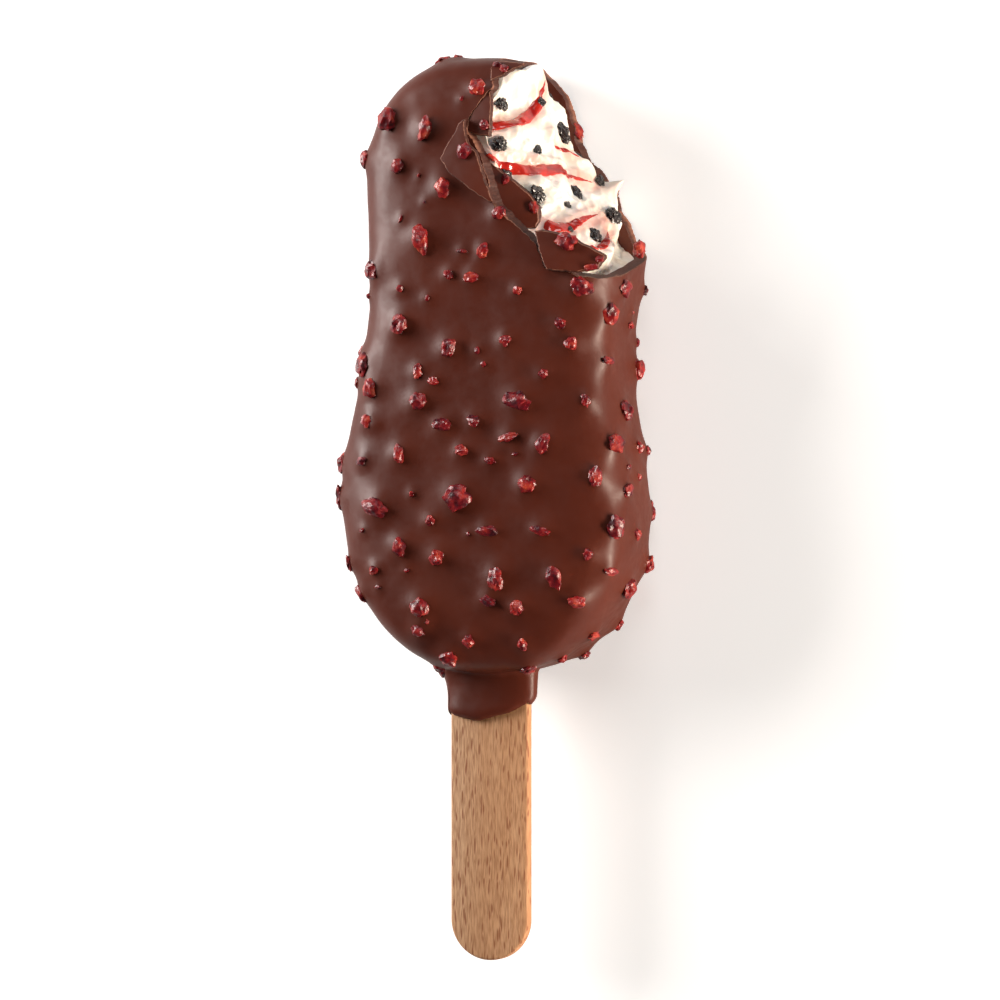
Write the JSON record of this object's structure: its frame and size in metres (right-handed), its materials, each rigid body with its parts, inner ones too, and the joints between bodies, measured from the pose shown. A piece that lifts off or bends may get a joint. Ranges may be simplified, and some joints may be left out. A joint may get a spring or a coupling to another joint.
{
  "type": "ice cream bar",
  "caption": "Chocolate coated ice cream bar on a flat wooden stick, with one corner bitten off to show rippled ice cream under broken coating",
  "frame": {"origin": "under the middle of the whole bar's bounding box, on the plane its back rests on", "axes": "+Z out of the front face, +Y from the stick to the bitten end, +X towards the side the bite opens on"},
  "size_m": [0.046, 0.1368, 0.0245],
  "materials": {
    "chocolate": "set chocolate coating, satin",
    "cream": "frozen ice cream, soft and slightly wet",
    "sauce": "red fruit sauce, glossy",
    "beech": "plain flat beech with short flecks, unvarnished"
  },
  "bodies": {
    "root": {"coating": "chocolate", "coating_plate_left": "chocolate", "coating_plate_crack": "chocolate", "coating_plate_inner": "chocolate", "coating_plate_lower": "chocolate", "coating_plate_top": "chocolate", "ice_cream": "cream", "sauce_ripple_upper": "sauce", "sauce_ripple_middle": "sauce", "sauce_ripple_short": "sauce", "sauce_ripple_lower": "sauce", "sauce_ripple_hook": "sauce", "stick": "beech"}
  },
  "joints": []
}
